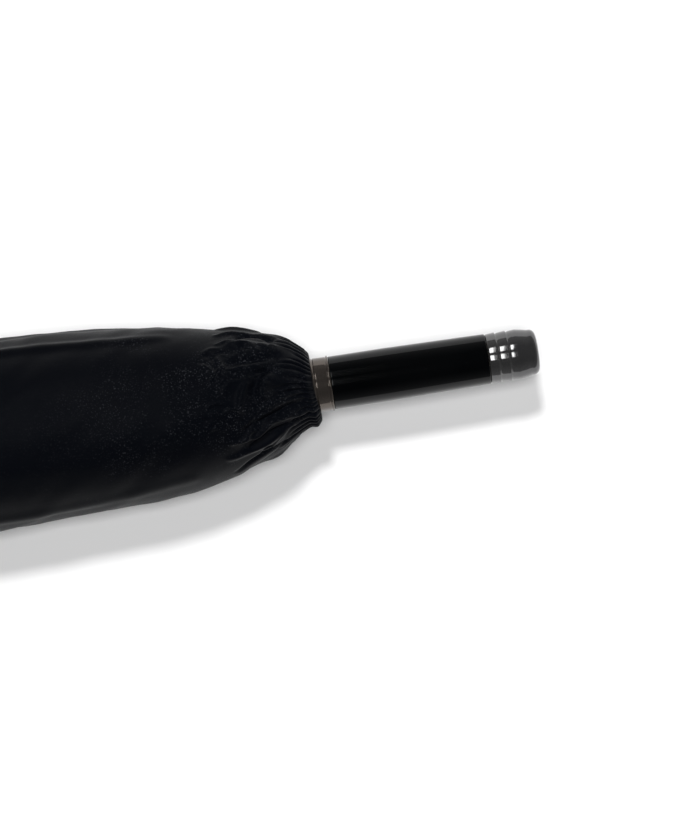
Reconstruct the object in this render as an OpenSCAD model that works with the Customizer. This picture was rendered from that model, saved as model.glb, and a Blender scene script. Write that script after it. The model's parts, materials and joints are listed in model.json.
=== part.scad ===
// Golf umbrella, closed and lying down inside its drawstring sleeve.
// The shaft lies along X with the handle at +X. The floor is the plane z = 0.

/* [Overall] */
// Height of the shaft's centre line above the floor
axis_z = 45; // [44:0.5:50]
// Distance from the origin to the end of the handle's cap
cap_end = 480; // [478:1:484]

/* [Shaft and handle] */
// Outer radius of the shaft tube
shaft_r = 7; // [6.8:0.1:7.2]
// Wall of the shaft tube
shaft_wall = 1; // [0.6:0.1:1.5]
// Outer radius of the grip where it meets the collar ring
grip_r_front = 14.4; // [14:0.1:14.6]
// Outer radius of the grip where it meets the end cap
grip_r_back = 13.6; // [13.2:0.1:14]
// Visible length of the grip tube
grip_len = 85.5; // [75:0.5:90]
// Length of the grip's straight stretch, where a holder clamps it
grip_land = 30; // [20:1:40]
// Length of the end cap
cap_len = 27; // [24:1:32]
// Length of the collar ring, half of it inside the sleeve's mouth
collar_len = 26; // [20:1:30]

/* [Frame] */
// Number of ribs, and of stretchers and canopy panels
ribs = 8; // [8]
// Distance from a rib's hinge to its tip
rib_len = 720; // [700:5:725]
// How far a rib bows outwards over its length
rib_bow = 20; // [16:1:20]
// Radius of a rib
rib_r = 1.8; // [1.5:0.1:1.8]
// Distance of every hinge from the shaft's centre line
hinge_r = 12; // [11.8:0.1:12.2]
// Distance from a rib's hinge to its stretcher joint
joint_at = 330; // [320:1:340]
// Length of a stretcher between its two joints
stretcher_len = 340; // [335:1:345]
// Angle that a rib turns through as the umbrella opens
open_angle = 75; // [70:1:76]

/* [Sleeve] */
// Largest outer radius of the sleeve
sleeve_r = 52.5; // [50:0.5:54]
// Thickness of the sleeve's cloth
sleeve_wall = 1.2; // [0.8:0.1:1.4]

/* [Hidden] */
$fn = 64;

// stations along the shaft
cap_start = cap_end - cap_len;
grip_start = cap_start - grip_len;
collar_start = grip_start - collar_len;
crown_x = -412;
crown_back = crown_x - 9;
washer_len = 3;
ferrule_start = crown_back - washer_len;
ferrule_end = -452;
tip_end = -474;
rib_tip_x = crown_x + rib_len;
tip_r = 17;
shaft_in_grip = 60;
shaft_end = grip_start + shaft_in_grip;
core_r = 12;
core_front = collar_start + 4;
screw_r = 4;
screw_len = 14;

// hinges
wire_r = 0.75;
rib_hole_r = 0.95;
stretcher_hole_r = 1.15;
eye_r = 2.6;
eye_len = 3.2;
slot_w = 4.2;
slot_h = 20;
slot_floor_r = 8.8;
bar_w = 2;
bar_h = 4;
bar_offset = 3.3;
channel_half = 1.2;
channel_r_in = 10.7;
channel_r_out = 14.1;

// a rib is an arc whose chord leans out a little towards its tip
chord = norm([rib_len, tip_r - hinge_r]);
lean = atan((tip_r - hinge_r) / rib_len);
bow_r = chord * chord / (8 * rib_bow) + rib_bow / 2;
bow_half = asin(chord / 2 / bow_r);
arc_fn = 720;
function bow_at(s) = sqrt(bow_r * bow_r - pow(s - chord / 2, 2)) - bow_r + rib_bow;
function rib_radius(s) = hinge_r + s * sin(lean) + bow_at(s) * cos(lean);
joint_x = crown_x + joint_at;
joint_r = rib_radius(joint_at);

// the runner, at the end of its travel nearest the handle
runner_x = joint_x + sqrt(pow(stretcher_len, 2) - pow(joint_r - hinge_r, 2));
stretcher_lean = asin((joint_r - hinge_r) / stretcher_len);
runner_len = 44;
runner_r = 14.2;
runner_bore_r = shaft_r + 0.08;
runner_front = runner_x - 5;
runner_back = runner_front + runner_len;

// the runner's travel, from where the stretcher joint is when a rib is fully open
open_joint_x = joint_at * cos(open_angle) - (joint_r - hinge_r) * sin(open_angle);
open_joint_r = joint_at * sin(open_angle) + (joint_r - hinge_r) * cos(open_angle);
runner_open_x = crown_x + open_joint_x + sqrt(pow(stretcher_len, 2) - pow(open_joint_r, 2));
runner_travel = runner_x - runner_open_x;
stretcher_turn = asin(open_joint_r / stretcher_len) - stretcher_lean;

// the two spring catches
catch_len = 15;
catch_h = 3;
catch_w = 2;
catch_leg = 9;
lower_catch_x = runner_front - 1 - catch_len;
upper_catch_x = runner_back - runner_travel + 1;
catch_slot_w = 2.8;

// canopy panels, folded round the ribs
panel_gap = 4;
panel_wall = 2;
panel_start = crown_x - 2;
panel_end = rib_tip_x + 4;
panel_steps = 24;
panel_edge_gap = 0.7;

// sleeve outline, as distances from the mouth and radii
mouth_x = 358;
mouth_r = 18.6;
sleeve_end = -cap_end;
hem_len = 13;
elastic_r = 0.9;
sleeve_side = [[0, mouth_r], [13, 26], [23, 32.5], [38, 37.5], [60, 42.8], [97, 48],
               [137, 50.5], [187, 52.1], [237, sleeve_r], [417, sleeve_r], [557, 49],
               [687, 42], [767, 34], [813, 26]];
end_round_r = 23;
mouth_hole_r = 15.7;

// a solid turned about the shaft, from points given as radius and x
module turned(points) {
    translate([0, 0, axis_z])
        rotate([0, 90, 0])
            rotate_extrude()
                polygon(points);
}

// a plain tube along the shaft
module tube(x0, x1, r_out, r_in) {
    turned([[r_in, x0], [r_out, x0], [r_out, x1], [r_in, x1]]);
}

// places something in a rib's plane: X along the shaft, Z away from it
module at_rib(i) {
    translate([0, 0, axis_z])
        rotate([(i - 1) * 360 / ribs, 0, 0])
            children();
}

// everything higher than z
module above(z) {
    translate([-600, -100, z])
        cube([1200, 200, 200]);
}

// a cylinder across a rib's plane, between two places on Y
module cross_pin(x, r, radius, y0, y1) {
    translate([x, y1, r])
        rotate([90, 0, 0])
            cylinder(h = y1 - y0, r = radius);
}

// the hinge wire: one closed ring that passes through every eye
module hinge_wire(x, ring_r) {
    translate([x, 0, axis_z])
        rotate([0, 90, 0])
            rotate_extrude()
                translate([ring_r, 0])
                    circle(r = wire_r, $fn = 32);
}

// one radial slot for a hinge, open outwards
module hinge_slot(i, x0, x1, y) {
    at_rib(i)
        translate([x0, y - slot_w / 2, slot_floor_r])
            cube([x1 - x0, slot_w, slot_h]);
}

// the stretch of an arc that a rib follows, as a round bar
module rib_arc(from_s, to_s, radius) {
    a0 = asin((from_s - chord / 2) / bow_r);
    a1 = asin((to_s - chord / 2) / bow_r);
    translate([crown_x, 0, hinge_r])
        rotate([0, -lean, 0])
            translate([chord / 2, 0, rib_bow - bow_r])
                rotate([90, 0, 0])
                    rotate([0, 0, 90 - a1])
                        rotate_extrude(angle = a1 - a0, $fn = arc_fn)
                            translate([bow_r, 0])
                                circle(r = radius, $fn = 32);
}

// the narrow slot in the shaft that a catch comes out of
module catch_slot(x) {
    translate([x - 2, -catch_slot_w / 2, axis_z])
        cube([catch_len + 4, catch_slot_w, shaft_r + 1]);
}

// the steel tube, with a slot for each catch
module shaft_tube() {
    color("dimgray")
        difference() {
            tube(crown_back, shaft_end, shaft_r, shaft_r - shaft_wall);
            catch_slot(lower_catch_x);
            catch_slot(upper_catch_x);
        }
}

// top notch: a slotted disc that holds the ribs' roots
module crown() {
    color("black")
        difference() {
            turned([[shaft_r, crown_back], [15.5, crown_back], [15.5, crown_back + 2],
                    [14.5, crown_back + 3], [14.5, crown_x + 6], [13, crown_x + 8],
                    [10, crown_x + 8], [9.4, crown_x + 20], [shaft_r, crown_x + 20]]);
            for (i = [1:ribs])
                hinge_slot(i, crown_back + 4, crown_x + 21, 0);
            // channel for the hinge wire
            tube(crown_x - channel_half, crown_x + channel_half, channel_r_out, channel_r_in);
        }
}

module crown_wire() {
    color("silver")
        hinge_wire(crown_x, hinge_r);
}

module canopy_washer() {
    color("dimgray")
        turned([[5.5, ferrule_start], [16, ferrule_start], [17, ferrule_start + 1],
                [17, crown_back], [5.5, crown_back]]);
}

// turned spike at the top of the canopy
module ferrule() {
    color("dimgray")
        union() {
            turned([[0, ferrule_end], [5.2, ferrule_end], [6.2, ferrule_end + 2],
                    [8.4, ferrule_start - 4], [11, ferrule_start - 1],
                    [11, ferrule_start], [0, ferrule_start]]);
            // plug that fixes the ferrule in the shaft
            tube(ferrule_start, crown_back, 5.5, 0);
            tube(crown_back, crown_back + 18, shaft_r - shaft_wall, 0);
        }
}

module ferrule_tip() {
    color("black")
        turned([[0, tip_end], [3, tip_end], [4.4, tip_end + 1.4], [4.8, ferrule_end],
                [0, ferrule_end]]);
}

module grip_tube() {
    color([0.02, 0.02, 0.025])
        turned([[core_r, grip_start], [grip_r_front - 0.4, grip_start],
                [grip_r_front, grip_start + 0.8], [grip_r_front, grip_start + grip_land],
                [grip_r_back, cap_start],
                [core_r, cap_start]]);
}

module grip_core() {
    color("tan")
        difference() {
            tube(core_front, cap_start, core_r, 0);
            tube(core_front - 1, shaft_end, shaft_r, 0);
        }
}

// metal ring between the sleeve and the grip, with a raised lip at each end
module collar_ring() {
    band_r = 14.7;
    lip_r = 15.1;
    color([0.45, 0.4, 0.36])
        difference() {
            turned([[shaft_r, collar_start], [13.6, collar_start], [lip_r, collar_start + 1],
                    [lip_r, collar_start + 2.4], [band_r, collar_start + 3],
                    [band_r, grip_start - 2.6], [lip_r, grip_start - 2],
                    [lip_r, grip_start - 0.5], [lip_r - 0.5, grip_start],
                    [shaft_r, grip_start]]);
            tube(core_front, grip_start + 1, core_r, 0);
        }
}

// end cap with two turned grooves and a rounded end
module end_cap() {
    groove = 0.45;
    color([0.25, 0.25, 0.26])
        difference() {
            turned([[0, cap_start], [grip_r_back - 0.5, cap_start],
                    [grip_r_back, cap_start + 0.6],
                    for (x = [5.6, 11.6])
                        each [[grip_r_back, cap_start + x - 0.5],
                              [grip_r_back - groove, cap_start + x],
                              [grip_r_back, cap_start + x + 0.5]],
                    [13.3, cap_start + 18], [12.7, cap_end - 4],
                    for (a = [0:15:90])
                        [10 + 2.6 * cos(a), cap_end - 3 + 3 * sin(a)],
                    [0, cap_end]]);
            tube(cap_start - 1, cap_start + screw_len + 1, screw_r, 0);
            // hollow round the screw's boss
            tube(cap_start - 1, cap_start + 17, 11, 6.5);
        }
}

// the screw that draws the cap onto the grip's core
module cap_screw() {
    color("silver")
        tube(cap_start, cap_start + screw_len, screw_r, 0);
}

// a flat spring with a sloped back and a steep face, on a leg inside the shaft
module catch() {
    color("silver")
        translate([0, catch_w / 2, 0])
            rotate([90, 0, 0])
                linear_extrude(catch_w)
                    polygon([[0, shaft_r - 3], [0, shaft_r - 0.2], [catch_len, shaft_r + catch_h],
                             [catch_len, shaft_r - 3], [catch_len - 3, shaft_r - catch_leg],
                             [3, shaft_r - catch_leg]]);
}

// holds the runner closed, its steep face towards the handle
module lower_catch() {
    translate([lower_catch_x, 0, axis_z])
        catch();
}

// holds the runner open, its steep face towards the crown
module upper_catch() {
    translate([upper_catch_x + catch_len, 0, axis_z])
        mirror([1, 0, 0])
            catch();
}

// sliding collar, slotted at its front for the stretchers' ends
module runner() {
    color("black")
        difference() {
            turned([[runner_bore_r, runner_front], [runner_r, runner_front],
                    [runner_r, runner_front + 10], [12.4, runner_front + 12],
                    [10, runner_front + 13], [10, runner_back - 10],
                    [12.6, runner_back - 8], [12.6, runner_back - 1.5],
                    [11.6, runner_back], [runner_bore_r, runner_back]]);
            for (i = [1:ribs])
                hinge_slot(i, runner_front - 1, runner_front + 10.5, bar_offset);
            // channel for the hinge wire
            tube(runner_x - channel_half, runner_x + channel_half, channel_r_out, channel_r_in);
        }
}

module runner_wire() {
    color("silver")
        hinge_wire(runner_x, norm([hinge_r, bar_offset]));
}

// a round rod, curved along its length, with an eye at its root
module rib(i) {
    color([0.08, 0.08, 0.08])
        at_rib(i)
            difference() {
                union() {
                    rib_arc(1, chord - 6, rib_r);
                    cross_pin(crown_x, hinge_r, eye_r, -eye_len / 2, eye_len / 2);
                }
                cross_pin(crown_x, hinge_r, rib_hole_r, -eye_len, eye_len);
            }
}

// rounded end that the canopy's corner is sewn to
module rib_tip(i) {
    ball_r = 2.9;
    socket_r = 2.3;
    socket_len = 12;
    color("silver")
        at_rib(i)
            translate([rib_tip_x, 0, tip_r])
                difference() {
                    union() {
                        rotate([0, 90 + bow_half - lean, 0])
                            translate([0, 0, -socket_len])
                                cylinder(h = socket_len, r = socket_r);
                        sphere(r = ball_r);
                    }
                    translate([-crown_x - rib_len, 0, -tip_r])
                        rib_arc(chord - 30, chord - 6, rib_r);
                }
}

// clip on the rib, flat on the side where the stretcher's end lies
module rib_clip(i) {
    clip_r = 2.9;
    clip_len = 14;
    flat_y = 1.95;
    color("dimgray")
        at_rib(i)
            difference() {
                rib_arc(joint_at - clip_len / 2, joint_at + clip_len / 2, clip_r);
                rib_arc(joint_at - clip_len, joint_at + clip_len, rib_r);
                translate([joint_x - clip_len, flat_y, joint_r - 10])
                    cube([2 * clip_len, 5, 20]);
            }
}

// flat bar beside its rib, with a round eye at each end
module stretcher(i) {
    color([0.12, 0.12, 0.12])
        at_rib(i)
            difference() {
                union() {
                    translate([runner_x, bar_offset - bar_w / 2, hinge_r])
                        rotate([0, stretcher_lean, 0])
                            translate([-stretcher_len, 0, -bar_h / 2])
                                cube([stretcher_len, bar_w, bar_h]);
                    cross_pin(runner_x, hinge_r, eye_r, bar_offset - bar_w / 2,
                              bar_offset + bar_w / 2);
                    cross_pin(joint_x, joint_r, eye_r, bar_offset - bar_w / 2,
                              bar_offset + bar_w / 2);
                    cross_pin(joint_x, joint_r, 1.6, bar_offset, bar_offset + bar_w / 2 + 0.6);
                }
                cross_pin(runner_x, hinge_r, stretcher_hole_r, 0, 2 * bar_offset);
            }
}

// one eighth of the folded canopy, as a thin shell outside the ribs
module canopy_panel(i) {
    function side(gap) = [
        for (k = [0:panel_steps])
            let (x = panel_start + k / panel_steps * (panel_end - panel_start),
                 s = max(0, min(x - crown_x, rib_len)))
            [rib_radius(s) + gap, x]];
    inner = side(panel_gap);
    outer = side(panel_gap + panel_wall);
    color([0.03, 0.03, 0.04])
        translate([0, 0, axis_z])
            rotate([(i - 0.5) * 360 / ribs, 0, 0])
                rotate([0, 90, 0])
                    rotate([0, 0, 180 - 180 / ribs + panel_edge_gap / 2])
                        rotate_extrude(angle = 360 / ribs - panel_edge_gap)
                            polygon(concat(inner, [for (k = [panel_steps:-1:0]) outer[k]]));
}

// band that ties the folded canopy together
module tie_strap() {
    strap_start = 179;
    strap_w = 22;
    strap_wall = 1;
    strap_gap = 0.5;
    strap_r = rib_radius(strap_start - crown_x) + panel_gap + panel_wall + strap_gap;
    color([0.03, 0.03, 0.04])
        tube(strap_start, strap_start + strap_w, strap_r + strap_wall, strap_r);
}

// cloth tube with a closed end, an elastic hem, and a flat underside where it rests
module sleeve() {
    function skin(inset) = [
        for (p = sleeve_side)
            if (p[0] > hem_len - 1)
                [p[1] - inset, mouth_x - p[0]]];
    function end_arc(inset) = [
        for (a = [10:20:90])
            let (r = end_round_r - inset)
            [r * cos(a), sleeve_end + end_round_r - r * sin(a)]];
    hem_front = [[mouth_hole_r, mouth_x - hem_len], [mouth_hole_r, mouth_x - 0.8],
                 [mouth_hole_r + 0.8, mouth_x], [mouth_r - 0.4, mouth_x],
                 [mouth_r + 0.4, mouth_x - 0.8]];
    color([0.04, 0.04, 0.06])
        difference() {
            intersection() {
                turned(concat(hem_front, skin(0), end_arc(0), [[0, mouth_x - hem_len]]));
                above(0);
            }
            intersection() {
                turned(concat([[0, mouth_x + 1], [mouth_hole_r, mouth_x + 1],
                               [mouth_hole_r, mouth_x - hem_len]],
                              skin(sleeve_wall), end_arc(sleeve_wall)));
                above(sleeve_wall);
            }
            elastic_loop();
        }
}

// the loop of elastic, which fills its tunnel in the hem
module elastic_loop() {
    translate([mouth_x - 3.5, 0, axis_z])
        rotate([0, 90, 0])
            rotate_extrude()
                translate([mouth_hole_r + 1.5, 0])
                    circle(r = elastic_r);
}

module sleeve_elastic() {
    color("white")
        elastic_loop();
}

shaft_tube();
crown();
crown_wire();
canopy_washer();
ferrule();
ferrule_tip();
grip_tube();
grip_core();
collar_ring();
end_cap();
cap_screw();
lower_catch();
upper_catch();
runner();
runner_wire();
tie_strap();
sleeve();
sleeve_elastic();
for (i = [1:ribs]) {
    rib(i);
    rib_tip(i);
    rib_clip(i);
    stretcher(i);
    canopy_panel(i);
}
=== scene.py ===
import json
import math

import bmesh
import bpy
import numpy as np
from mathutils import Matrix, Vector


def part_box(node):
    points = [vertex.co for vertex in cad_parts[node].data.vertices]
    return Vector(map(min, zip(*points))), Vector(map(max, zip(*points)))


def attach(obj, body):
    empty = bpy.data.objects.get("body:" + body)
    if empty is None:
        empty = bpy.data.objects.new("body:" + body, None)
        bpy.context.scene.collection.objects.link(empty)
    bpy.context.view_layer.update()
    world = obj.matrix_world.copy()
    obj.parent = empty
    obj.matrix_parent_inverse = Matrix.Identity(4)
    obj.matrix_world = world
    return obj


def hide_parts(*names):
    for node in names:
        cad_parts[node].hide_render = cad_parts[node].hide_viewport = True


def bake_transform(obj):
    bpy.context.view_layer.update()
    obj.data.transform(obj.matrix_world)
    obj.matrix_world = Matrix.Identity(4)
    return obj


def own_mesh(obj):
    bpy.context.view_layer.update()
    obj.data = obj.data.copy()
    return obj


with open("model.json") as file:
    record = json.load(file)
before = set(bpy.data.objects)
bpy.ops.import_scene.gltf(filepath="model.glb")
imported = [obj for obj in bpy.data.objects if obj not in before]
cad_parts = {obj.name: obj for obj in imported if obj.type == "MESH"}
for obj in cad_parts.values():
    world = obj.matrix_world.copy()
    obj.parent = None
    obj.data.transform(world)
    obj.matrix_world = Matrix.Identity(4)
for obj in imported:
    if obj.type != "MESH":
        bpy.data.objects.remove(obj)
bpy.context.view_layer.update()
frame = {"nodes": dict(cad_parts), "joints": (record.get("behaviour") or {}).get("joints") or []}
rng = np.random.default_rng(8)

# ---------------------------------------------------------------- sizes, all in metres
AXIS_Z = sum(c.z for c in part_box("grip_tube")) / 2
RIBS = sum(name.startswith("stretcher_") for name in frame["nodes"])
SECTOR = 2 * math.pi / RIBS
MOUTH_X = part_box("sleeve")[1].x
SLEEVE_END_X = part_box("sleeve")[0].x
GRIP_X0, GRIP_X1 = (c.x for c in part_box("grip_tube"))
CAP_X1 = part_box("end_cap")[1].x
COLLAR_X0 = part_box("collar_ring")[0].x
JOINTS = {j["name"]: j for j in frame["joints"]}
CROWN_X = JOINTS["rib_1_hinge"]["pos_m"][0]
HINGE_R = JOINTS["rib_1_hinge"]["pos_m"][2] - AXIS_Z
OPEN_ANGLE = math.radians(JOINTS["rib_1_hinge"]["range_deg"][1])
SPREAD = JOINTS["panel_1_spread"]["range_m"][1]
RIB_LEN = 0.720
RIB_TIP_R = 0.017
RIB_BOW = 0.020
CLOTH_OVER_RIB = 0.0023
JOINT_S = sum(c.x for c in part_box("rib_clip_1")) / 2 - CROWN_X
TIP_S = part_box("rib_tip_1")[0].x - CROWN_X


# ---------------------------------------------------------------- camera
WIDTH_SEEN = 0.378  # across the picture, at the height of the shaft's axis
SENSOR = 36
CAMERA_HEIGHT = 1.30
HANDLE_TILT = math.radians(8.8)
VIEW_CENTRE = Vector((0.3745, -0.0213, AXIS_Z))


def make_camera():
    """Looks straight down, turned so that the handle rises a little to the right."""
    data = bpy.data.cameras.new("camera")
    data.sensor_fit = "HORIZONTAL"
    data.sensor_width = SENSOR
    data.lens = SENSOR * CAMERA_HEIGHT / WIDTH_SEEN
    data.clip_start, data.clip_end = 0.01, 50
    camera = bpy.data.objects.new("camera", data)
    camera.location = VIEW_CENTRE + Vector((0, 0, CAMERA_HEIGHT))
    camera.rotation_euler = (0, 0, -HANDLE_TILT)
    bpy.context.collection.objects.link(camera)
    bpy.context.scene.camera = camera


# ---------------------------------------------------------------- mesh helpers
def smooth(t):
    t = np.clip(t, 0, 1)
    return t * t * (3 - 2 * t)


def curve_through(xs, ys):
    """A smooth curve through points that never overshoots them, as a function."""
    xs, ys = np.asarray(xs, float), np.asarray(ys, float)
    h, slope = np.diff(xs), np.diff(ys) / np.diff(xs)
    m = np.zeros(len(xs))
    both = slope[:-1] * slope[1:] > 0
    m[1:-1][both] = 2 * slope[:-1][both] * slope[1:][both] / (slope[:-1] + slope[1:])[both]
    m[0], m[-1] = slope[0], slope[-1]

    def value(x):
        x = np.clip(x, xs[0], xs[-1])
        k = np.clip(np.searchsorted(xs, x, side="right") - 1, 0, len(h) - 1)
        t = (x - xs[k]) / h[k]
        return (
            (1 + 2 * t) * (1 - t) ** 2 * ys[k] + t * (1 - t) ** 2 * h[k] * m[k]
            + t * t * (3 - 2 * t) * ys[k + 1] + t * t * (t - 1) * h[k] * m[k + 1]
        )

    return value


def grid_piece(name, points, uv=None, closed=False, material=None):
    """A mesh piece from points[row, column]. closed joins the last column to the first."""
    rows, cols = points.shape[:2]
    step = np.arange(cols if closed else cols - 1)
    faces = [
        (r * cols + c, r * cols + (c + 1) % cols, (r + 1) * cols + (c + 1) % cols, (r + 1) * cols + c)
        for r in range(rows - 1) for c in step
    ]
    mesh = bpy.data.meshes.new(name)
    mesh.from_pydata(points.reshape(-1, 3).tolist(), [], faces)
    if uv is not None:
        layer = mesh.uv_layers.new(name="UVMap")
        u, v = uv
        for face, loop in zip(faces, mesh.polygons):
            r, c = divmod(face[0], cols)
            corners = ((r, c), (r, c + 1), (r + 1, c + 1), (r + 1, c))
            for k, (i, j) in zip(loop.loop_indices, corners):
                layer.data[k].uv = (u[j], v[i])
    mesh.shade_smooth()
    piece = bpy.data.objects.new(name, mesh)
    bpy.context.collection.objects.link(piece)
    if material:
        mesh.materials.append(material)
    return piece


def close_rows(piece):
    """Merges each row that has shrunk to a point, and drops faces with no area."""
    work = bmesh.new()
    work.from_mesh(piece.data)
    bmesh.ops.remove_doubles(work, verts=work.verts, dist=1e-6)
    bmesh.ops.recalc_face_normals(work, faces=work.faces)
    work.to_mesh(piece.data)
    work.free()
    piece.data.shade_smooth()


def held(profile, near=0.0002, step=0.003):
    """The same profile with points added along its long stretches, so that they shade flat."""
    out = [profile[0]]
    for a, b in zip(profile, profile[1:]):
        long = math.dist(a, b)
        if long > 4 * near:
            inner = np.linspace(near, long - near, 2 + int(long / step)) / long
            out += [(a[0] + (b[0] - a[0]) * t, a[1] + (b[1] - a[1]) * t) for t in inner]
        out.append(b)
    return out


def lathe(name, profile, material, segments=160):
    """A piece turned about the shaft from (x, radius) points, with UVs in metres."""
    angles = np.linspace(0, 2 * math.pi, segments, endpoint=False)
    xs, rs = np.array(held(profile), float).T
    points = np.stack(
        [
            np.repeat(xs[:, None], segments, 1),
            rs[:, None] * np.sin(angles)[None],
            AXIS_Z + rs[:, None] * np.cos(angles)[None],
        ],
        axis=-1,
    )
    length = np.concatenate([[0], np.cumsum(np.hypot(np.diff(xs), np.diff(rs)))])
    around = np.linspace(0, 2 * math.pi * rs.max(), segments + 1)
    piece = grid_piece(name, points, (around, length), closed=True, material=material)
    close_rows(piece)
    return piece


def rounded(corners, radius, steps=5):
    """A profile with each inner corner replaced by a small arc."""
    out = [corners[0]]
    for before, at, after in zip(corners, corners[1:], corners[2:]):
        a, p, b = (np.array(q, float) for q in (before, at, after))
        reach = min(radius, 0.45 * np.linalg.norm(a - p), 0.45 * np.linalg.norm(b - p))
        start = p + (a - p) / np.linalg.norm(a - p) * reach
        end = p + (b - p) / np.linalg.norm(b - p) * reach
        for t in np.linspace(0, 1, steps):
            out.append(tuple((1 - t) ** 2 * start + 2 * t * (1 - t) * p + t * t * end))
    out.append(corners[-1])
    return out


# ---------------------------------------------------------------- materials
class Nodes:
    """A new material with a Principled shader, and short calls that add nodes to it."""

    def __init__(self, name, color, roughness, **values):
        self.material = bpy.data.materials.new(name)
        self.material.use_nodes = True
        self.tree = self.material.node_tree
        self.shader = self.tree.nodes["Principled BSDF"]
        self.shader.inputs["Base Color"].default_value = (*color, 1)
        self.shader.inputs["Roughness"].default_value = roughness
        for key, value in values.items():
            self.shader.inputs[key.replace("_", " ")].default_value = value
        self.height = None

    def add(self, kind, **settings):
        node = self.tree.nodes.new("ShaderNode" + kind)
        for key, value in settings.items():
            if hasattr(node, key):
                setattr(node, key, value)
            else:
                node.inputs[key].default_value = value
        return node

    def link(self, a, b):
        self.tree.links.new(a, b)

    def coordinates(self, kind="Object", scale=(1, 1, 1)):
        mapping = self.add("Mapping")
        mapping.inputs["Scale"].default_value = scale
        self.link(self.add("TexCoord").outputs[kind], mapping.inputs["Vector"])
        return mapping.outputs["Vector"]

    def noise(self, scale, detail=4, rough=0.55, stretch=(1, 1, 1), kind="Object"):
        node = self.add("TexNoise", Scale=scale, Detail=detail, Roughness=rough)
        self.link(self.coordinates(kind, stretch), node.inputs["Vector"])
        return node.outputs["Fac"]

    def ramp(self, fac, stops):
        node = self.add("ValToRGB")
        for element, (at, value) in zip(node.color_ramp.elements, (stops[0], stops[-1])):
            element.position = at
            element.color = (*value, 1)
        for at, value in stops[1:-1]:
            node.color_ramp.elements.new(at).color = (*value, 1)
        self.link(fac, node.inputs["Fac"])
        return node.outputs["Color"]

    def spread(self, fac, low, high):
        node = self.add("MapRange")
        node.inputs["To Min"].default_value = low
        node.inputs["To Max"].default_value = high
        self.link(fac, node.inputs["Value"])
        return node.outputs["Result"]

    def bump(self, height, strength, distance):
        node = self.add("Bump", Strength=strength, Distance=distance)
        self.link(height, node.inputs["Height"])
        if self.height is not None:
            self.link(self.height, node.inputs["Normal"])
        self.height = node.outputs["Normal"]
        self.link(self.height, self.shader.inputs["Normal"])

    def set(self, socket, output):
        self.link(output, self.shader.inputs[socket])


def woven(name, dark, light, roughness, thread, sheen, lint_color=(0.034, 0.036, 0.041)):
    """Woven polyester: crossed threads, uneven gloss, and lint that is thickest at the mouth."""
    m = Nodes(name, dark, roughness, Sheen_Weight=sheen, Sheen_Roughness=0.45, Specular_IOR_Level=0.06)
    m.shader.inputs["Sheen Tint"].default_value = (0.62, 0.7, 0.95, 1)
    uv = m.coordinates("UV")
    warp = m.add("TexWave", wave_type="BANDS", bands_direction="X", Scale=1 / thread, Distortion=0.6)
    weft = m.add("TexWave", wave_type="BANDS", bands_direction="Y", Scale=1 / thread, Distortion=0.6)
    for wave in (warp, weft):
        m.link(uv, wave.inputs["Vector"])
    threads = m.add("Math", operation="MULTIPLY")
    m.link(warp.outputs["Fac"], threads.inputs[0])
    m.link(weft.outputs["Fac"], threads.inputs[1])
    patches = m.noise(14, 3, stretch=(0.35, 1, 1))
    lint = m.noise(900, 5, 0.7)
    specks = m.ramp(m.noise(1300, 2, 0.5), [(0.60, (0, 0, 0)), (0.70, (1, 1, 1))])
    where = m.ramp(m.noise(38, 3, 0.6, stretch=(0.7, 1, 1)), [(0.42, (0, 0, 0)), (0.62, (1, 1, 1))])
    dust = m.add("Mix", data_type="RGBA", blend_type="MULTIPLY")
    dust.inputs["Factor"].default_value = 1
    m.link(specks, dust.inputs["A"])
    m.link(where, dust.inputs["B"])
    along = m.add("SeparateXYZ")
    m.link(m.coordinates("Object"), along.inputs[0])
    handled = m.add("MapRange")
    for socket, value in (("From Min", 0.20), ("From Max", 0.31), ("To Min", 0.08), ("To Max", 1.0)):
        handled.inputs[socket].default_value = value
    m.link(along.outputs["X"], handled.inputs["Value"])
    amount = m.add("Math", operation="MULTIPLY")
    m.link(dust.outputs["Result"], amount.inputs[0])
    m.link(handled.outputs["Result"], amount.inputs[1])
    cloth = m.add("Mix", data_type="RGBA", blend_type="MIX")
    m.link(amount.outputs[0], cloth.inputs["Factor"])
    m.link(m.ramp(patches, [(0.3, dark), (0.7, light)]), cloth.inputs["A"])
    cloth.inputs["B"].default_value = (*lint_color, 1)
    m.set("Base Color", cloth.outputs["Result"])
    m.set("Roughness", m.spread(m.noise(60, 4), roughness - 0.07, roughness + 0.07))
    m.bump(threads.outputs[0], 0.25, 0.00004)
    m.bump(lint, 0.3, 0.00006)
    m.bump(m.noise(120, 3, stretch=(0.5, 1, 1)), 0.25, 0.0004)
    return m.material


def gloss_black():
    """Lacquered black tube: a clear coat over black, with dust-fine ripple."""
    m = Nodes("grip_lacquer", (0.002, 0.002, 0.0022), 0.12,
              Coat_Weight=0.38, Coat_Roughness=0.02, Specular_IOR_Level=0.05)
    m.set("Roughness", m.spread(m.noise(35, 5, 0.6, stretch=(0.4, 1, 1)), 0.09, 0.17))
    blacks = [(0.3, (0.0005, 0.0007, 0.0009)), (0.7, (0.0012, 0.0014, 0.0016))]
    m.set("Base Color", m.ramp(m.noise(20, 3), blacks))
    m.bump(m.noise(70, 3, stretch=(0.15, 1, 1)), 0.08, 0.0003)
    return m.material


def plated(name, dark, light, roughness, streak):
    """Dark plated metal with fine turning lines and slightly uneven tone."""
    m = Nodes(name, dark, roughness, Metallic=0.84)
    tone = m.noise(45, 4, stretch=(1, 0.6, 0.6))
    lines = m.noise(700, 2, stretch=(1, 0.02, 0.02))
    m.set("Base Color", m.ramp(tone, [(0.3, dark), (0.7, light)]))
    m.set("Roughness", m.spread(m.noise(160, 4), roughness * 0.75, roughness * 1.35))
    m.bump(lines, streak, 0.00003)
    return m.material


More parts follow.
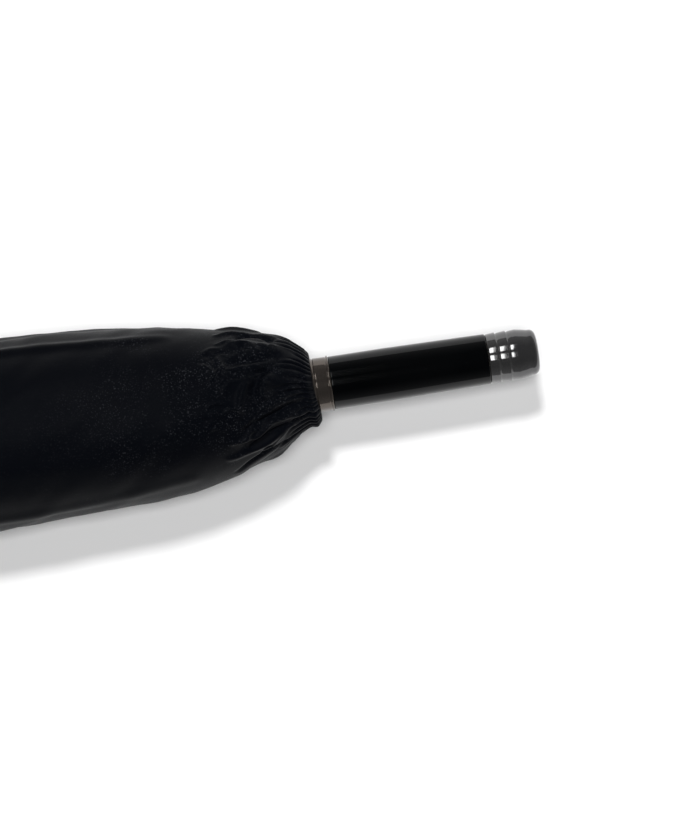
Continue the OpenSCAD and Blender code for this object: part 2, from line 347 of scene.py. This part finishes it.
def painted(name, color, roughness, metallic=0.0):
    """Painted or moulded black parts: a fine orange-peel skin and rubbed patches."""
    m = Nodes(name, color, roughness, Metallic=metallic)
    lighter = tuple(min(1, c * 1.9 + 0.006) for c in color)
    m.set("Base Color", m.ramp(m.noise(60, 5, 0.6), [(0.35, color), (0.75, lighter)]))
    m.set("Roughness", m.spread(m.noise(180, 4), roughness - 0.08, roughness + 0.1))
    m.bump(m.noise(900, 3), 0.15, 0.00005)
    return m.material


def bright_steel():
    """Bare drawn wire, slightly uneven in tone, with fine lines along X."""
    m = Nodes("drawn_wire", (0.5, 0.5, 0.52), 0.28, Metallic=1)
    m.set("Base Color", m.ramp(m.noise(90, 4), [(0.3, (0.42, 0.42, 0.44)), (0.7, (0.6, 0.6, 0.61))]))
    m.set("Roughness", m.spread(m.noise(300, 3), 0.2, 0.36))
    m.bump(m.noise(1500, 2, stretch=(0.1, 1, 1)), 0.1, 0.00003)
    return m.material


SLEEVE_CLOTH = woven("sleeve_satin", (0.0012, 0.0016, 0.0027), (0.0021, 0.0026, 0.0040),
                     roughness=0.46, thread=0.0011, sheen=0.003)
CANOPY_CLOTH = woven("canopy_pongee", (0.0045, 0.0047, 0.0055), (0.0075, 0.0078, 0.0088),
                     roughness=0.5, thread=0.0009, sheen=0.05)
GRIP_BLACK = gloss_black()
CAP_METAL = plated("cap_plating", (0.105, 0.105, 0.108), (0.14, 0.139, 0.138), 0.09, 0.25)
COLLAR_METAL = plated("collar_plating", (0.09, 0.077, 0.067), (0.122, 0.105, 0.092), 0.075, 0.1)
SHAFT_PAINT = painted("shaft_paint", (0.012, 0.012, 0.013), 0.3, 0.2)
MOULDED = painted("moulded_nylon", (0.011, 0.011, 0.012), 0.45)
FIBRE = painted("glass_fibre_rod", (0.014, 0.014, 0.015), 0.38)
STEEL = bright_steel()
CORE = painted("core_plastic", (0.08, 0.07, 0.055), 0.6)


# ---------------------------------------------------------------- sleeve
# Distances back from the mouth, and the cloth's radius there.
SLEEVE_OUTLINE = curve_through(
    [0.0012, 0.0025, 0.006, 0.010, 0.0146, 0.019, 0.023, 0.030, 0.038, 0.047, 0.0575, 0.067, 0.079, 0.097,
     0.137, 0.187, 0.237, 0.417, 0.557, 0.687, 0.767, 0.807, 0.827, 0.835, 0.838],
    [0.0195, 0.0211, 0.0225, 0.0253, 0.0280, 0.0305, 0.0325, 0.0347, 0.0371, 0.0396, 0.0421, 0.0441, 0.0461,
     0.0479, 0.0501, 0.0517, 0.0522, 0.0522, 0.0485, 0.0415, 0.0335, 0.0262, 0.0185, 0.0095, 0.0],
)
# How far the sleeve's middle lies to the side, by distance back from the mouth.
SIDE_LINE = curve_through(
    [0, 0.0025, 0.006, 0.010, 0.0146, 0.019, 0.026, 0.038, 0.047, 0.060, 0.080, 0.120, 0.160, 0.838],
    [-0.0008, -0.0006, 0.0010, 0.0015, 0.0013, 0.0007, 0, -0.0010, -0.0021, -0.0020, -0.0016, -0.0004, 0, 0],
)
# Folds near the mouth: points as (distance back, sideways), half width, height. A hollow is negative.
MOUTH_FOLDS = [
    ([(0.042, 0.0194), (0.030, 0.0192), (0.018, 0.0183)], 0.0024, -0.0026),
    ([(0.017, 0.0165), (0.023, 0.0125), (0.028, 0.0080), (0.031, 0.0020), (0.032, -0.0030)], 0.0024, -0.0022),
    ([(0.047, 0.0225), (0.044, 0.0165), (0.037, 0.0155), (0.027, 0.0150)], 0.0018, 0.0011),
    ([(0.033, 0.0090), (0.037, 0.0020), (0.040, -0.0060)], 0.0020, 0.0012),
    ([(0.023, 0.0060), (0.027, 0.0010), (0.025, -0.0050)], 0.0026, 0.0014),
    ([(0.008, -0.0095), (0.017, -0.0112), (0.028, -0.0140), (0.038, -0.0170)], 0.0017, -0.0021),
    ([(0.046, -0.0218), (0.034, -0.0216), (0.022, -0.0156), (0.008, -0.0150)], 0.0017, 0.0018),
    ([(0.037, -0.0262), (0.025, -0.0213), (0.012, -0.0184)], 0.0017, -0.0020),
    ([(0.015, -0.0195), (0.029, -0.0262), (0.049, -0.0300)], 0.0020, 0.0014),
    ([(0.019, 0.0225), (0.027, 0.0262), (0.041, 0.0292)], 0.0022, 0.0012),
    ([(0.059, -0.0040), (0.053, -0.0075), (0.058, -0.0120)], 0.0030, 0.0006),
    ([(0.055, 0.0060), (0.067, 0.0035), (0.079, 0.0045)], 0.0034, 0.0005),
]
# Long creases over the rolled canopy: (distance back, degrees round from the top), half width, height.
LONG_CREASES = [
    ([(0.075, 58), (0.110, 55), (0.170, 56), (0.300, 58), (0.470, 52), (0.640, 50)], 0.0036, 0.0013),
    ([(0.085, 88), (0.150, 82), (0.290, 84), (0.430, 80)], 0.0050, -0.0009),
    ([(0.070, -58), (0.160, -64), (0.310, -60), (0.460, -66), (0.700, -60)], 0.0045, 0.0009),
    ([(0.120, -28), (0.260, -22), (0.400, -26), (0.560, -20)], 0.0060, 0.0006),
    ([(0.200, 18), (0.340, 24), (0.520, 20), (0.700, 26)], 0.0055, 0.0007),
    ([(0.090, -104), (0.240, -98), (0.420, -104), (0.600, -100)], 0.0050, 0.0008),
    ([(0.110, 118), (0.300, 112), (0.500, 116), (0.680, 110)], 0.0055, 0.0008),
]
PLEATS = 44
FOLD_DEPTH = 1.3  # multiplies the height of every fold and crease
MOUTH_SLANT = 0.0020
FLOOR_BLEND = 0.0025
FLOOR_GAP = 0.0003
CLOTH_WALL = 0.0003
SLEEVE_COLUMNS = 480
SLEEVE_CLOSES = 0.8378
MOUTH_HOLE_R = 0.0154
STITCH_PITCH = 0.0042


def add_strokes(height, back, along, strokes, as_angle):
    """Adds soft ridges and hollows that follow strokes over the cloth's surface."""
    for points, half_width, rise in strokes:
        d = np.array([p[0] for p in points])
        r = SLEEVE_OUTLINE(d)
        if as_angle:
            side = np.radians([p[1] for p in points]) * r
        else:
            side = np.arcsin(np.clip(np.array([p[1] for p in points]) / r, -1, 1)) * r
        t = np.linspace(0, 1, 6 * len(points))
        knots = np.linspace(0, 1, len(points))
        path_d, path_s = curve_through(knots, d)(t), curve_through(knots, side)(t)
        reach = 4 * half_width
        near = (back > d.min() - reach) & (back < d.max() + reach)
        b, s = back[near], along[near]
        nearest = np.full(b.shape, 1e9)
        fade = np.zeros(b.shape)
        for k in range(len(t) - 1):
            ex, ey = path_d[k + 1] - path_d[k], path_s[k + 1] - path_s[k]
            q = np.clip(((b - path_d[k]) * ex + (s - path_s[k]) * ey) / (ex * ex + ey * ey), 0, 1)
            gap = np.hypot(b - path_d[k] - q * ex, s - path_s[k] - q * ey)
            closer = gap < nearest
            nearest = np.where(closer, gap, nearest)
            fade = np.where(closer, t[k] + q * (t[k + 1] - t[k]), fade)
        taper = np.sin(np.pi * np.clip(0.12 + 0.76 * fade, 0, 1)) ** 0.7
        height[near] += FOLD_DEPTH * rise * taper * np.exp(-((nearest / half_width) ** 2))


def random_strokes(count, d_range, angle_range, length, half_width, rise):
    """Short folds at seeded places. angle_range is in degrees round from the top."""
    strokes = []
    for _ in range(count):
        d0 = rng.uniform(*d_range)
        a0 = rng.uniform(*angle_range)
        size = rng.uniform(*length)
        lean = rng.uniform(-14, 14)
        points = [(d0 + size * t, a0 + lean * t + 4 * math.sin(3 * t)) for t in (0, 0.35, 0.7, 1)]
        strokes.append((points, rng.uniform(*half_width), rng.uniform(*rise) * rng.choice([-1, 1])))
    return strokes


def cloth_height(back, angle):
    """How far the cloth stands out from its smooth outline, by distance back and angle round."""
    height = np.zeros(back.shape)
    along = angle * SLEEVE_OUTLINE(back)
    wander = 1.5 * np.sin(3 * angle + 0.6) + 1.0 * np.sin(7 * angle + 2.1) + 0.6 * np.sin(13 * angle)
    reach = 0.018 + 0.004 * np.sin(5 * angle + 1) + 0.004 * np.sin(11 * angle + 3)
    phase = PLEATS * angle + wander + 0.5 * np.sin(back / 0.005 + 4 * angle)
    ridge = np.abs(np.cos(phase / 2)) ** 0.6 - 0.68
    strength = 0.0016 + 0.0004 * smooth(back / 0.010) + 0.0003 * np.sin(9 * angle + 1.7)
    height += ridge * strength * smooth((reach - back) / 0.011)
    merged = 11 * angle + 1.5 * np.sin(2 * angle) + 1.1 * np.sin(5 * angle + back / 0.02) + 9 * back / 0.05
    band = smooth((back - 0.010) / 0.010) * smooth((0.062 - back) / 0.035)
    height += 0.0010 * (np.abs(np.cos(merged / 2)) - 0.6) * band
    body = smooth((back - 0.03) / 0.06) * smooth((0.835 - back) / 0.05)
    for k, (size, wave) in enumerate([(0.00042, 0.11), (0.00035, 0.065), (0.00026, 0.041), (0.00016, 0.023)]):
        turn = 2 + 2 * k
        height += body * size * np.sin(back / wave * 2 * math.pi + turn * angle + 1.7 * k) * np.sin(
            (turn + 1) * angle + 2.3 * k + np.sin(back / (2.2 * wave) * 2 * math.pi))
    tail = smooth((back - 0.765) / 0.05)
    puckers = np.abs(np.cos(9 * angle + 0.8 * np.sin(2 * angle))) - 0.6
    height += 0.0011 * tail * puckers * smooth((0.838 - back) / 0.01)
    add_strokes(height, back, along, MOUTH_FOLDS, as_angle=False)
    short = []
    for count, d_range, angle_range, length, half_width, rise in (
        (9, (0.012, 0.03), (52, 175), (0.012, 0.03), (0.0015, 0.0025), (0.0010, 0.0020)),
        (9, (0.012, 0.03), (-175, -62), (0.012, 0.03), (0.0015, 0.0025), (0.0010, 0.0020)),
        (34, (0.010, 0.050), (-58, 60), (0.005, 0.014), (0.0008, 0.0016), (0.0003, 0.0008)),
        (26, (0.09, 0.72), (-150, 150), (0.03, 0.10), (0.0025, 0.0050), (0.0002, 0.0005)),
    ):
        short += random_strokes(count, d_range, angle_range, length, half_width, rise)
    add_strokes(height, back, along, short, as_angle=True)
    add_strokes(height, back, along, LONG_CREASES, as_angle=True)
    return height


def sleeve_points():
    """The sleeve's surface, from inside its mouth, round the rolled hem and back to its closed end."""
    angle = np.linspace(-math.pi, math.pi, SLEEVE_COLUMNS, endpoint=False)
    inside = [(0.0125, 0.0161), (0.010, 0.0159), (0.007, 0.0157), (0.004, 0.0156), (0.0020, 0.0156)]
    lip = [(0.0008, 0.0158), (0.0001, 0.0164), (-0.0001, 0.0173), (0.0001, 0.0182), (0.0007, 0.0190)]
    turned_in = len(inside) + len(lip)
    outer = np.concatenate([
        np.arange(0.0015, 0.070, 0.00065),
        np.arange(0.070, 0.160, 0.0022),
        np.arange(0.160, 0.800, 0.0052),
        np.arange(0.800, 0.8375, 0.0015),
        [SLEEVE_CLOSES],
    ])
    back = np.concatenate([[p[0] for p in inside + lip], outer])
    radius = np.concatenate([[p[1] for p in inside + lip], SLEEVE_OUTLINE(outer)])
    grid_back = np.repeat(back[:, None], SLEEVE_COLUMNS, 1)
    grid_angle = np.repeat(angle[None], len(back), 0)
    height = cloth_height(np.maximum(grid_back, 0.0015), grid_angle)
    share = np.ones(len(back))
    share[:turned_in] = np.linspace(0.0, 0.8, turned_in)
    r = radius[:, None] + height * share[:, None]
    r = np.maximum(r, np.where(grid_back < 0.012, MOUTH_HOLE_R, 0))
    slant = MOUTH_SLANT * smooth(0.1 - 0.9 * np.sin(grid_angle)) * np.exp(-((grid_back / 0.010) ** 2))
    x = MOUTH_X - 0.0002 - grid_back + slant
    y = r * np.sin(grid_angle) + SIDE_LINE(grid_back)
    z = AXIS_Z + r * np.cos(grid_angle)
    z = FLOOR_GAP + FLOOR_BLEND * np.log1p(np.exp(np.clip((z - FLOOR_GAP) / FLOOR_BLEND, -30, 30)))
    z = np.where(z > AXIS_Z, AXIS_Z + r * np.cos(grid_angle), z)
    length = np.concatenate([[0], np.cumsum(np.hypot(np.diff(back), np.diff(radius)))])
    around = np.linspace(0, 2 * math.pi * 0.052, SLEEVE_COLUMNS + 1)
    return np.stack([x, y, z], -1), (around, length)


def stitch_row(name, centres, forward, outward, material):
    """Short thread stitches, each a small eight-sided bead with pointed ends."""
    long, wide, tall = 0.0012, 0.00028, 0.00028
    verts, faces = [], []
    for p, f, o in zip(centres, forward, outward):
        s = np.cross(f, o)
        base = len(verts)
        verts.append(p - f * long)
        for end in (-0.55, 0.55):
            for k in range(8):
                a = 2 * math.pi * k / 8
                verts.append(p + f * long * end + s * wide * math.cos(a) + o * tall * math.sin(a))
        verts.append(p + f * long)
        for k in range(8):
            n = (k + 1) % 8
            faces.append((base, base + 1 + n, base + 1 + k))
            faces.append((base + 1 + k, base + 1 + n, base + 9 + n, base + 9 + k))
            faces.append((base + 9 + k, base + 9 + n, base + 17))
    mesh = bpy.data.meshes.new(name)
    mesh.from_pydata([tuple(v) for v in verts], [], faces)
    mesh.shade_smooth()
    mesh.materials.append(material)
    piece = bpy.data.objects.new(name, mesh)
    bpy.context.collection.objects.link(piece)
    return piece


def make_sleeve():
    """The cloth sleeve, and the stitches along its lengthwise seam."""
    points, uv = sleeve_points()
    cloth = grid_piece("sleeve_cloth", points, uv, closed=True, material=SLEEVE_CLOTH)
    close_rows(cloth)
    wall = cloth.modifiers.new("wall", "SOLIDIFY")
    wall.thickness = CLOTH_WALL
    wall.offset = -1
    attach(cloth, "sleeve")
    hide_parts("sleeve", "sleeve_elastic")
    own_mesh(cloth)
    # a row of stitches on each side of the lengthwise seam, low on the far side
    for k, degrees in enumerate((104.5, 109.0)):
        column = round((degrees + 180) / 360 * SLEEVE_COLUMNS)
        line = points[:, column]
        keep = (line[:, 0] < MOUTH_X - 0.014) & (line[:, 0] > SLEEVE_END_X + 0.03)
        line = line[keep][::-1]
        walk = np.concatenate([[0], np.cumsum(np.linalg.norm(np.diff(line, axis=0), axis=1))])
        at = np.arange(0, walk[-1], STITCH_PITCH)
        centres = np.stack([np.interp(at, walk, line[:, i]) for i in range(3)], -1)
        forward = np.gradient(centres, axis=0)
        forward /= np.linalg.norm(forward, axis=1)[:, None]
        outward = centres - np.array([0, 0, AXIS_Z])
        outward[:, 0] = 0
        outward -= (outward * forward).sum(1)[:, None] * forward
        outward /= np.linalg.norm(outward, axis=1)[:, None]
        row = stitch_row(f"sleeve_stitches_{k + 1}", centres, forward, outward, SLEEVE_CLOTH)
        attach(row, "sleeve")
        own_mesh(row)


# ---------------------------------------------------------------- handle
def make_handle():
    """The grip tube, the grooved cap on its end, and the collar ring at the sleeve's mouth."""
    grip_r0, grip_r1 = 0.0144, 0.0136
    straight = GRIP_X0 + 0.030
    grip = lathe(
        "grip_lacquered",
        rounded([
            (GRIP_X0 + 0.0001, 0.0120), (GRIP_X0 + 0.0001, grip_r0), (straight, grip_r0),
            (straight + 0.026, grip_r0 - 0.00035), (GRIP_X1 - 0.0001, grip_r1), (GRIP_X1 - 0.0001, 0.0120),
        ], 0.0006),
        GRIP_BLACK,
    )
    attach(grip, "shaft")
    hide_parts("grip_tube")

    def band(x0, x1, r0, r1, crown, steps=14):
        """One band of the cap, standing a little proud in its middle."""
        t = np.linspace(0, 1, steps)
        return list(zip(GRIP_X1 + x0 + (x1 - x0) * t, r0 + (r1 - r0) * t + crown * 4 * t * (1 - t)))

    groove_r = 0.01295
    profile = [(GRIP_X1 + 0.0002, 0.0125), (GRIP_X1 + 0.0002, 0.01315)]
    profile += band(0.0006, 0.0052, 0.01324, 0.01363, 0.00003)
    profile += [(GRIP_X1 + 0.0056, groove_r), (GRIP_X1 + 0.0059, groove_r)]
    profile += band(0.0063, 0.0111, 0.01322, 0.01363, 0.00003)
    profile += [(GRIP_X1 + 0.0115, groove_r), (GRIP_X1 + 0.0118, groove_r)]
    profile += band(0.0122, 0.0160, 0.01322, 0.01354, 0.00003)
    profile += band(0.0166, 0.0226, 0.01348, 0.01235, 0.00008)
    corner = 0.0034
    for a in np.radians(np.arange(12, 91, 6)):
        profile.append((CAP_X1 - corner + corner * math.sin(a), 0.0089 + corner * math.cos(a)))
    profile += [(CAP_X1, 0.006), (CAP_X1, 0.002), (CAP_X1, 0.0)]
    cap = lathe("end_cap_plated", profile, CAP_METAL)
    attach(cap, "shaft")
    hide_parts("end_cap")

    bead = MOUTH_X + 0.0002
    collar = lathe(
        "collar_plated",
        rounded([
            (COLLAR_X0, 0.0120), (COLLAR_X0, 0.0142), (COLLAR_X0 + 0.0010, 0.0148), (bead - 0.0016, 0.0148),
            (bead - 0.0012, 0.01505), (bead, 0.01505), (bead + 0.0006, 0.01452), (bead + 0.0010, 0.01452),
            (bead + 0.0014, 0.01478), (GRIP_X0 - 0.0020, 0.01463), (GRIP_X0 - 0.0017, 0.01450),
            (GRIP_X0 - 0.0013, 0.01450), (GRIP_X0 - 0.0010, 0.01502), (GRIP_X0 - 0.0003, 0.01502),
            (GRIP_X0, 0.0147), (GRIP_X0, 0.0120),
        ], 0.00035, 4),
        COLLAR_METAL,
    )
    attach(collar, "shaft")
    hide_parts("collar_ring")


# ---------------------------------------------------------------- ribs and canopy
CHORD = math.hypot(RIB_LEN, RIB_TIP_R - HINGE_R)
LEAN = math.atan2(RIB_TIP_R - HINGE_R, RIB_LEN)
BOW_R = CHORD**2 / (8 * RIB_BOW) + RIB_BOW / 2
GORE_MID = 0.664  # from the crown to half way between two rib tips
HALF_GORE = math.atan2(math.sin(SECTOR / 2) * (HINGE_R + RIB_LEN * math.sin(OPEN_ANGLE)), GORE_MID)
FOLDED_OVER_RIB = 0.0026


def rib_height(s):
    """How far a closed rib lies from the shaft's centre line, at s from its hinge."""
    s = np.clip(s, 0, RIB_LEN)
    bow = np.sqrt(BOW_R**2 - (s - CHORD / 2) ** 2) - BOW_R + RIB_BOW
    return HINGE_R + s * math.sin(LEAN) + bow * math.cos(LEAN)


def over_joint(s):
    """How much the cloth rises where it passes over the stretchers' joints with the ribs."""
    return 0.0022 * np.exp(-(((s - JOINT_S) / 0.018) ** 2))


def over_tip(s):
    """How much the open cloth rises to cover the socket of a rib's tip."""
    return 0.0012 * smooth((s - (TIP_S - 0.010)) / 0.010)


def round_shaft(x, angle, r):
    """Points at angle round the shaft, counted as the ribs are."""
    return np.stack([x, -r * np.sin(angle), AXIS_Z + r * np.cos(angle)], -1)


def make_folded_gore(i):
    """One gore folded double and wound round the ribs, at its full width."""
    rows, cols = 90, 46
    pitch = 0.0088
    start = (i - 1) * SECTOR
    edge = np.linspace(0, HALF_GORE, cols)
    hem = 0.655 / np.cos(HALF_GORE - edge) + 0.012 * np.cos(edge / HALF_GORE * math.pi / 2)
    hem *= 0.716 / hem[0]
    share = np.linspace(0.02, 1, rows)[:, None]
    reach = share * hem[None]
    x = CROWN_X + reach * np.cos(edge)[None]
    lateral = reach * np.sin(edge)[None]
    base = rib_height(x - CROWN_X) + FOLDED_OVER_RIB + over_joint(x - CROWN_X)
    turn = lateral / (base + pitch * lateral / base / (4 * math.pi))
    full = turn[:, -1:]
    fluff = 0.0005 * np.sin(x / 0.05 * 2 * math.pi + 5 * turn + 1.3 * i) * smooth(turn)
    outer = round_shaft(x, start + turn, base + pitch * turn / (2 * math.pi) + fluff + 0.0002)
    back_turn = SECTOR + (turn[:, ::-1] / np.maximum(full, 1e-6)) * np.maximum(full - SECTOR, full * 0.02)
    x2 = x[:, ::-1]
    base2 = base[:, ::-1]
    lift = pitch * (back_turn - SECTOR) / (2 * math.pi) + 0.0006 * smooth((back_turn - SECTOR) / 0.5)
    inner = round_shaft(x2, start + back_turn, base2 + lift + fluff[:, ::-1])
    points = np.concatenate([outer, inner], axis=1)
    v = np.linspace(0, RIB_LEN, rows)
    u = np.linspace(0, 0.54, 2 * cols)
    cloth = grid_piece(f"gore_folded_{i}", points, (u, v), material=CANOPY_CLOTH)
    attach(cloth, "shaft")
    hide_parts(f"canopy_panel_{i}")
    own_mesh(cloth)


def turned_out(p, i, angle):
    """A point of rib i's rest frame, after that rib has turned out by angle."""
    a = (i - 1) * SECTOR
    n = np.array([0, -math.sin(a), math.cos(a)])
    pivot = np.array([CROWN_X, 0, AXIS_Z]) + n * HINGE_R
    rel = p - pivot
    along, out = rel[..., 0], rel @ n
    side = rel - along[..., None] * np.array([1.0, 0, 0]) - out[..., None] * n
    c, s = math.cos(angle), math.sin(angle)
    return pivot + side + (along * c - out * s)[..., None] * np.array([1.0, 0, 0]) + (
        along * s + out * c)[..., None] * n


def make_open_gore(i):
    """One gore of the open canopy. At rest it is gathered into a strip along its rib."""
    rows, cols = 91, 41
    strip = 0.008
    s = np.linspace(0.004, RIB_LEN - 0.001, rows)
    f = np.linspace(0, 1, cols)
    here, there = (i - 1) * SECTOR, (i % RIBS) * SECTOR
    height = rib_height(s) + CLOTH_OVER_RIB + over_joint(s) + over_tip(s)
    line_here = round_shaft(CROWN_X + s, here, height)
    line_there = round_shaft(CROWN_X + s, there, height)
    open_here = turned_out(line_here, i, OPEN_ANGLE)
    open_there = turned_out(line_there, i % RIBS + 1, OPEN_ANGLE)
    # the hem curves in between the tips, and the cloth sags a little between the ribs
    pull = 1 - 0.050 * np.sin(math.pi * f)[None] * (s / RIB_LEN)[:, None] ** 3
    row_at = np.arange(rows)[:, None] * pull
    low = np.clip(row_at.astype(int), 0, rows - 2)
    mix = (row_at - low)[..., None]
    a = open_here[low] * (1 - mix) + open_here[low + 1] * mix
    b = open_there[low] * (1 - mix) + open_there[low + 1] * mix
    surface = a * (1 - f[None, :, None]) + b * f[None, :, None]
    surface[..., 0] += 0.010 * np.sin(math.pi * f)[None] * np.sin(math.pi * s / RIB_LEN)[:, None] ** 0.7
    target = turned_out(surface, i, -OPEN_ANGLE)
    angle = (i - 1) * SECTOR
    side = np.array([0, -math.cos(angle), -math.sin(angle)])
    spread = np.array(JOINTS[f"panel_{i}_spread"]["axis"], float)
    spread /= np.linalg.norm(spread)
    origin = np.array([CROWN_X, 0, AXIS_Z])
    want = (target - origin) @ side
    low_u, high_u = np.full(want.shape, -strip), np.full(want.shape, strip)
    for _ in range(60):
        u = (low_u + high_u) / 2
        over = u + SPREAD * smooth(u / strip) * (spread @ side) > want
        high_u, low_u = np.where(over, u, high_u), np.where(over, low_u, u)
    rest = target - (SPREAD * smooth(u / strip))[..., None] * spread
    cloth = grid_piece(f"gore_open_{i}", rest, (np.linspace(0, 0.54, cols), s), material=CANOPY_CLOTH)
    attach(cloth, f"rib_{i}")
    cloth.parent = None
    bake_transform(cloth)


def make_tie_strap():
    """A webbing band with a snap, closed round the folded canopy."""
    low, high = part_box("tie_strap")
    x0, x1 = low.x, high.x
    over_folds = 0.0052
    r = (high.z - low.z) / 2 + over_folds
    thick = 0.0006
    turns = np.linspace(-0.12, 2 * math.pi + 0.42, 220)
    lift = 0.0009 * smooth((turns - 2 * math.pi + 0.1) / 0.3)
    outline = [(x0, 0), (x0 + 0.0006, thick), (x0 + 0.003, thick * 1.25), (x1 - 0.003, thick * 1.25),
               (x1 - 0.0006, thick), (x1, 0), (x0, 0)]
    band_r = r + lift + 0.0004 * np.sin(5 * turns)
    points = np.stack([round_shaft(np.full(turns.shape, x), turns, band_r + h) for x, h in outline], 1)
    uv = (np.linspace(0, 0.05, len(outline)), turns * r)
    strap = grid_piece("tie_strap_webbing", points, uv, material=CANOPY_CLOTH)
    close_rows(strap)
    snap = lathe_disc("tie_strap_snap", (x0 + x1) / 2, 0.25, r + 0.0014, 0.0052, 0.0012, STEEL)
    for piece in (strap, snap):
        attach(piece, "rib_1")
        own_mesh(piece)
    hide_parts("tie_strap")


def lathe_disc(name, x, angle, r, radius, height, material):
    """A small domed button standing on the bundle at angle, facing outwards."""
    out = np.array([0, -math.sin(angle), math.cos(angle)])
    across = np.array([0, math.cos(angle), math.sin(angle)])
    centre = np.array([x, 0, AXIS_Z]) + out * r
    rings = [(1.0, 0.0), (1.0, 0.55), (0.92, 0.85), (0.7, 1.0), (0.62, 0.92), (0.35, 0.95), (0.0, 1.0)]
    around = np.linspace(0, 2 * math.pi, 48, endpoint=False)
    points = np.array([
        [centre + radius * k * (math.cos(a) * np.array([1.0, 0, 0]) + math.sin(a) * across) + out * height * h
         for a in around] for k, h in rings])
    piece = grid_piece(name, points, closed=True, material=material)
    close_rows(piece)
    return piece


# ---------------------------------------------------------------- carried-over parts
def finish_cad_parts():
    """Gives every CAD part that stays visible its material."""
    looks = {
        "shaft_tube": SHAFT_PAINT, "crown": MOULDED, "crown_wire": STEEL, "canopy_washer": SHAFT_PAINT,
        "ferrule": SHAFT_PAINT, "ferrule_tip": MOULDED, "grip_core": CORE, "cap_screw": STEEL,
        "lower_catch": STEEL, "upper_catch": STEEL, "runner": MOULDED, "runner_wire": STEEL,
    }
    families = {"rib_tip": STEEL, "rib_clip": SHAFT_PAINT, "rib": FIBRE, "stretcher": SHAFT_PAINT}
    for name, part in frame["nodes"].items():
        family = name.rstrip("0123456789").rstrip("_")
        material = looks.get(name) or families.get(family)
        if material:
            part.data.materials.clear()
            part.data.materials.append(material)


# ---------------------------------------------------------------- stage
def area_light(name, at, size, watts, shown_in_gloss, lights_surfaces, aim=(0.40, 0, AXIS_Z)):
    """A rectangular light that the camera doesn't see."""
    data = bpy.data.lights.new(name, "AREA")
    data.shape = "RECTANGLE"
    data.size, data.size_y = size
    data.energy = watts
    light = bpy.data.objects.new(name, data)
    light.location = at
    light.rotation_euler = (Vector(aim) - Vector(at)).to_track_quat("-Z", "Y").to_euler()
    light.visible_glossy = shown_in_gloss
    light.visible_diffuse = lights_surfaces
    light.visible_camera = False
    bpy.context.collection.objects.link(light)


def make_floor():
    """A plain pale floor."""
    floor_mesh = bpy.data.meshes.new("floor")
    half = 30
    corners = [(-half, -half, 0), (half, -half, 0), (half, half, 0), (-half, half, 0)]
    floor_mesh.from_pydata(corners, [], [(0, 1, 2, 3)])
    m = Nodes("floor_paint", (0.86, 0.86, 0.86), 0.95, Specular_IOR_Level=0.0)
    floor_mesh.materials.append(m.material)
    floor = bpy.data.objects.new("floor", floor_mesh)
    bpy.context.collection.objects.link(floor)


def make_world():
    """A dim room that is a little lighter towards the horizon."""
    world = bpy.data.worlds.new("studio")
    bpy.context.scene.world = world
    world.use_nodes = True
    nodes, links = world.node_tree.nodes, world.node_tree.links
    direction = nodes.new("ShaderNodeTexCoord")
    split = nodes.new("ShaderNodeSeparateXYZ")
    ramp = nodes.new("ShaderNodeValToRGB")
    links.new(direction.outputs["Generated"], split.inputs[0])
    links.new(split.outputs["Z"], ramp.inputs["Fac"])
    links.new(ramp.outputs["Color"], nodes["Background"].inputs["Color"])
    ramp.color_ramp.elements[0].position, ramp.color_ramp.elements[1].position = 0.02, 0.75
    ramp.color_ramp.elements[0].color = (0.24, 0.24, 0.245, 1)
    ramp.color_ramp.elements[1].color = (0.012, 0.012, 0.014, 1)
    middle = ramp.color_ramp.elements.new(0.38)
    middle.color = (0.12, 0.12, 0.122, 1)
    nodes["Background"].inputs["Strength"].default_value = 1.0


def make_lights():
    """A key sun, a wide fill, a strip on the far side, and two windows that only gloss shows."""
    right = Vector((math.cos(HANDLE_TILT), -math.sin(HANDLE_TILT), 0))
    up = Vector((math.sin(HANDLE_TILT), math.cos(HANDLE_TILT), 0))
    sun_data = bpy.data.lights.new("key", "SUN")
    sun_data.angle = math.radians(7)
    sun_data.energy = 1.9
    sun = bpy.data.objects.new("key", sun_data)
    sun.visible_glossy = False
    lean = math.tan(math.radians(25))  # how far the sun stands off the vertical
    travel = (right * 0.26 - up * 0.966) * lean + Vector((0, 0, -1))
    sun.rotation_euler = travel.to_track_quat("-Z", "Y").to_euler()
    bpy.context.collection.objects.link(sun)

    over = VIEW_CENTRE + Vector((0, 0, 3.0))
    area_light("fill", over, (0.8, 0.8), 61, False, True, aim=VIEW_CENTRE)
    high = AXIS_Z + CAMERA_HEIGHT
    area_light("window_far", (0.255, 0.98, high), (0.10, 0.8), 3.2, True, False, aim=(0.255, 0.98, 0))
    area_light("window_near", (0.268, 0.0, high), (0.09, 0.5), 1.8, True, False, aim=(0.268, 0.0, 0))
    area_light("strip", Vector((0.1, 0, 0)) + up * 1.5 + Vector((0, 0, 1.1)), (2.6, 0.5), 1.5, False, True)


bpy.context.scene.view_settings.view_transform = "Standard"
make_camera()
make_sleeve()
make_handle()
for gore in range(1, RIBS + 1):
    make_folded_gore(gore)
    make_open_gore(gore)
make_tie_strap()
finish_cad_parts()
make_floor()
make_world()
make_lights()
